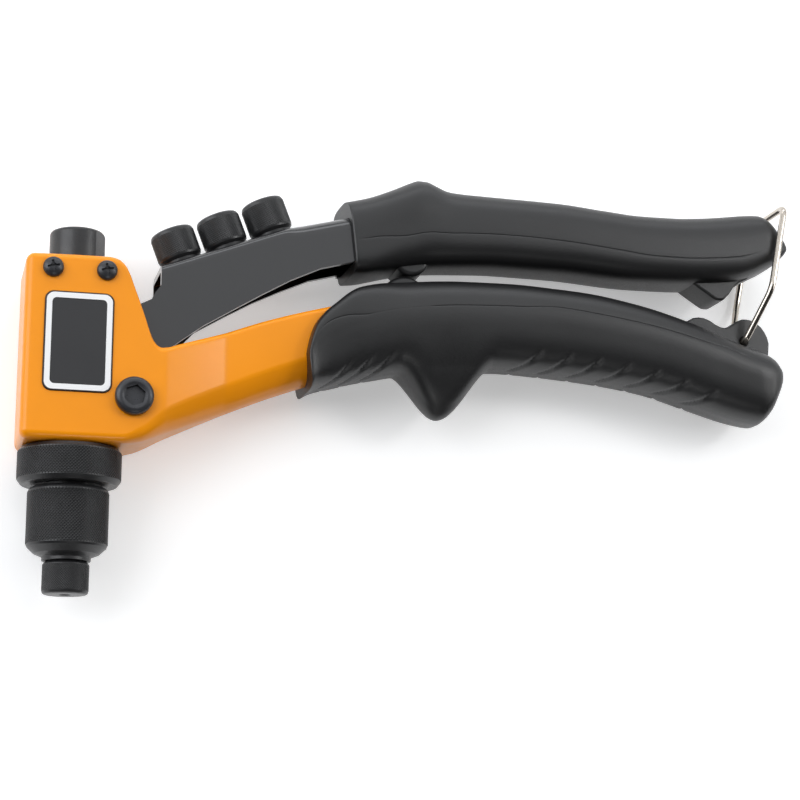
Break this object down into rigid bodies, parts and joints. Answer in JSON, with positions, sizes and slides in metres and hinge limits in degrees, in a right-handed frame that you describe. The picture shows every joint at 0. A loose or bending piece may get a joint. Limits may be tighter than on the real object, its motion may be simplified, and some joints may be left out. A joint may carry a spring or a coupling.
{
  "type": "hand riveter",
  "caption": "Hand riveter with an orange cast head, rubber-covered squeeze handles, screw-on nose with spare nosepieces on the lever, sliding jaw set and a wire lock clip.",
  "frame": {"origin": "middle of the nosepiece mouth, on the rivet axis", "axes": "X along the handles away from the head, Y from the nose up the rivet axis to the mandrel outlet, Z out of the broad side that carries the nameplate"},
  "size_m": [0.2504, 0.1365, 0.0331],
  "materials": {
    "orange_enamel": "gloss orange enamel over cast aluminium",
    "grip_rubber": "satin moulded",
    "black_enamel": "gloss black enamel on pressed steel",
    "black_steel": "matt black phosphate, knurled",
    "black_oxide": "satin black oxide",
    "plate": "black field with a pale border",
    "bronze": "plain bearing",
    "plain_steel": "machined",
    "spring_wire": "drawn wire",
    "bright_wire": "bright plated wire"
  },
  "bodies": {
    "frame": {"body_casting": "orange_enamel", "body_grip": "grip_rubber", "nameplate": "plate", "bush_screw_left": "black_oxide", "bush_screw_right": "black_oxide", "pivot_bolt": "black_oxide", "pivot_nut": "black_oxide", "outlet_bush": "black_steel", "lock_ring": "black_steel", "nose_sleeve": "black_steel", "nosepiece": "black_steel", "return_spring": "spring_wire"},
    "lever": {"lever_channel": "black_enamel", "lever_grip": "grip_rubber", "pivot_bush": "bronze", "spare_nosepiece_1": "black_steel", "spare_nosepiece_2": "black_steel", "spare_nosepiece_3": "black_steel"},
    "carriage": {"jaw_case": "plain_steel", "pull_head": "plain_steel", "trunnion_front": "plain_steel", "trunnion_back": "plain_steel", "jaw_spring": "spring_wire"},
    "pusher": {"jaw_pusher": "plain_steel"},
    "jaw_a": {"jaw_1": "plain_steel"},
    "jaw_b": {"jaw_2": "plain_steel"},
    "jaw_c": {"jaw_3": "plain_steel"},
    "clip": {"lock_clip": "bright_wire"}
  },
  "joints": [
    {"name": "lever_swing", "type": "hinge", "parent": "frame", "child": "lever", "pos_m": [0.0172, 0.0583, 0], "axis": [0, 0, 1], "range_deg": [0, 14]},
    {"name": "carriage_slide", "type": "slide", "parent": "frame", "child": "carriage", "axis": [0, -1, 0], "range_m": [0, 0.00425], "deforming": ["return_spring"]},
    {"name": "pusher_slide", "type": "slide", "parent": "carriage", "child": "pusher", "axis": [0, 1, 0], "range_m": [0, 0.0015], "stiffness_N_per_m": 300, "deforming": ["jaw_spring"]},
    {"name": "jaw_a_slide", "type": "slide", "parent": "carriage", "child": "jaw_a", "axis": [0.1994, 0.9799, 0], "range_m": [0, 0.0016]},
    {"name": "jaw_b_slide", "type": "slide", "parent": "carriage", "child": "jaw_b", "axis": [-0.0997, 0.9799, 0.1727], "range_m": [0, 0.0016]},
    {"name": "jaw_c_slide", "type": "slide", "parent": "carriage", "child": "jaw_c", "axis": [-0.0997, 0.9799, -0.1727], "range_m": [0, 0.0016]},
    {"name": "clip_swing", "type": "hinge", "parent": "frame", "child": "clip", "pos_m": [0.2205, 0.0902, 0], "axis": [0, 0, -1], "range_deg": [-22, 75]}
  ],
  "couplings": [
    {"joint": "carriage_slide", "follows": "lever_swing", "m_per_rad": 0.017286},
    {"joint": "jaw_a_slide", "follows": "pusher_slide", "ratio": 1.0205},
    {"joint": "jaw_b_slide", "follows": "pusher_slide", "ratio": 1.0205},
    {"joint": "jaw_c_slide", "follows": "pusher_slide", "ratio": 1.0205}
  ]
}
